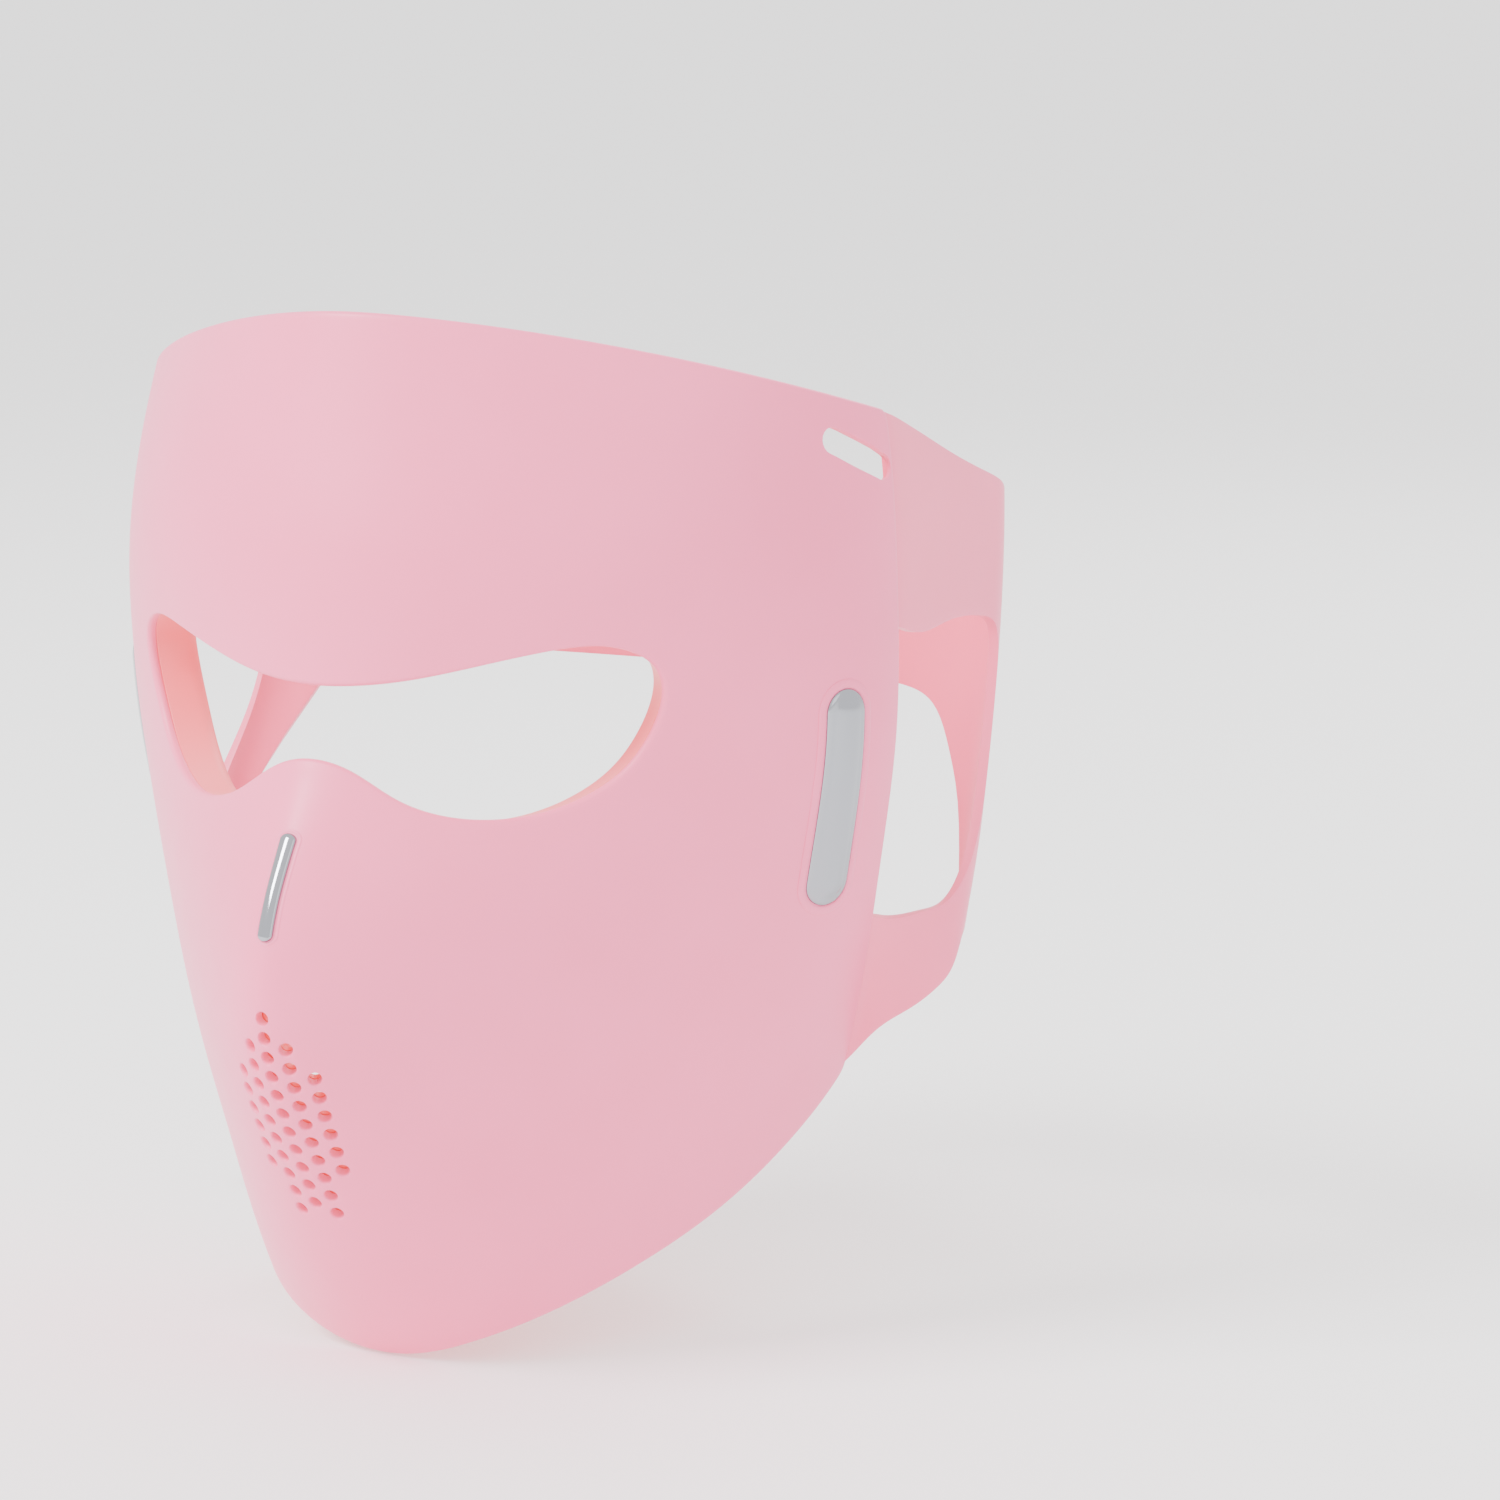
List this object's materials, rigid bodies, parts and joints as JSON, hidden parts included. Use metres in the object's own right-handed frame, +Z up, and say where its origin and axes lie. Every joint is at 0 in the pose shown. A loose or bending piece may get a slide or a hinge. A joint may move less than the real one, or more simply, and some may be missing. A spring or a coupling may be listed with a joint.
{
  "type": "led light therapy face mask",
  "caption": "Silicone face mask with a lit inner lining, wrap-round straps closed by a hook-and-loop band, vents, metal trims and a coiled power lead.",
  "frame": {"origin": "the point at chin level on the wearer's middle line, in the plane of the two strap roots, where the head that holds the mask comes down to", "axes": "+Z up the face, +X to the wearer's left, -Y out of the front of the mask"},
  "size_m": [0.2126, 0.1858, 0.235],
  "materials": {
    "shell_silicone": "satin",
    "strap_silicone": "satin",
    "frame_silicone": "satin",
    "lens_silicone": "satin",
    "led_board": "satin",
    "trim_chrome": "polished",
    "patch_leather": "matte",
    "pad_fabric": "matte",
    "cable_jacket": "satin",
    "tie_plastic": "matte",
    "plug_metal": "satin"
  },
  "bodies": {
    "mask": {"outer_shell": "shell_silicone", "vent_island": "frame_silicone", "vent_ring": "frame_silicone", "rim_frame": "frame_silicone", "eye_cushion": "frame_silicone", "forehead_rib": "frame_silicone", "nose_rib": "frame_silicone", "chin_rib": "frame_silicone", "led_board_left": "led_board", "led_board_right": "led_board", "lens_left": "lens_silicone", "lens_right": "lens_silicone", "snap_post_left_1": "frame_silicone", "snap_post_left_2": "frame_silicone", "snap_post_right_1": "frame_silicone", "snap_post_right_2": "frame_silicone", "nose_trim": "trim_chrome", "cheek_trim_left": "trim_chrome", "cheek_trim_right": "trim_chrome", "cable_gland": "shell_silicone", "cable_lead": "cable_jacket", "cable_coil": "cable_jacket", "cable_tail": "cable_jacket", "coil_tie": "tie_plastic", "plug_grip": "cable_jacket", "plug_shell": "plug_metal", "plug_tongue": "tie_plastic"},
    "left_strap": {"strap_left": "strap_silicone", "loop_pad": "pad_fabric"},
    "right_strap": {"strap_right": "strap_silicone", "hook_pad": "pad_fabric", "leather_patch": "patch_leather"}
  },
  "joints": [
    {"name": "right_strap_swing", "type": "hinge", "parent": "mask", "child": "right_strap", "pos_m": [-0.09766, 0, 0.1595], "axis": [0, 0, 1], "range_deg": [0, 75], "stiffness_Nm_per_rad": 0.01},
    {"name": "left_strap_swing", "type": "hinge", "parent": "mask", "child": "left_strap", "pos_m": [0.09766, 0, 0.1595], "axis": [0, 0, -1], "range_deg": [0, 52.5], "stiffness_Nm_per_rad": 0.01}
  ],
  "couplings": [
    {"joint": "left_strap_swing", "follows": "right_strap_swing", "ratio": 0.7}
  ]
}
